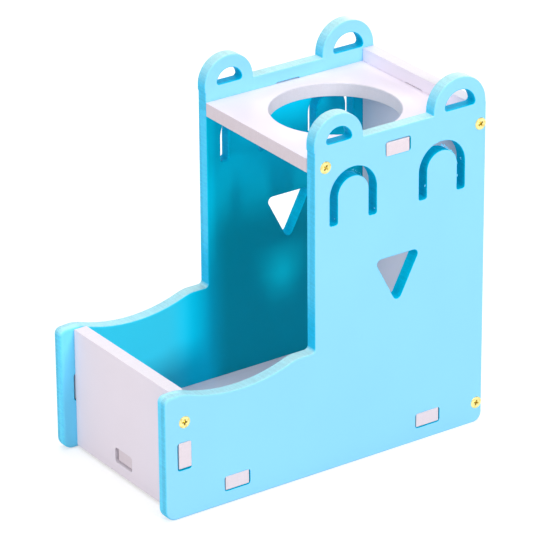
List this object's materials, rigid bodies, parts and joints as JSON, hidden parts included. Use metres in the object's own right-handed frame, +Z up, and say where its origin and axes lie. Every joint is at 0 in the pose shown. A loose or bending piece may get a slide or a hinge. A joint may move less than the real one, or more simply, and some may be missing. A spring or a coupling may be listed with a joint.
{
  "type": "small animal bottle stand with food tray",
  "caption": "Open board stand with animal-head side panels, a top shelf with a round hole for a drinking bottle and a low food tray in front, joined by tabs and countersunk screws.",
  "frame": {"origin": "under the middle of the stand, on the surface it stands on", "axes": "+X towards the right side board, -Y towards the tray end, +Z up along the axis of the bottle hole"},
  "size_m": [0.072, 0.1374, 0.1377],
  "materials": {
    "blue_pvc_board": "foamed PVC sheet, sky blue, satin faces with speckled routed edges",
    "white_pvc_board": "foamed PVC sheet, white, satin",
    "brass_plated_screw": "bright yellow plating"
  },
  "bodies": {
    "root": {"right_side_board": "blue_pvc_board", "left_side_board": "blue_pvc_board", "bottle_shelf": "white_pvc_board", "tray_floor": "white_pvc_board", "front_board": "white_pvc_board", "back_board": "white_pvc_board", "right_screw_shelf": "brass_plated_screw", "right_screw_back_top": "brass_plated_screw", "right_screw_back_bottom": "brass_plated_screw", "right_screw_front": "brass_plated_screw", "left_screw_shelf": "brass_plated_screw", "left_screw_back_top": "brass_plated_screw", "left_screw_back_bottom": "brass_plated_screw", "left_screw_front": "brass_plated_screw"}
  },
  "joints": []
}
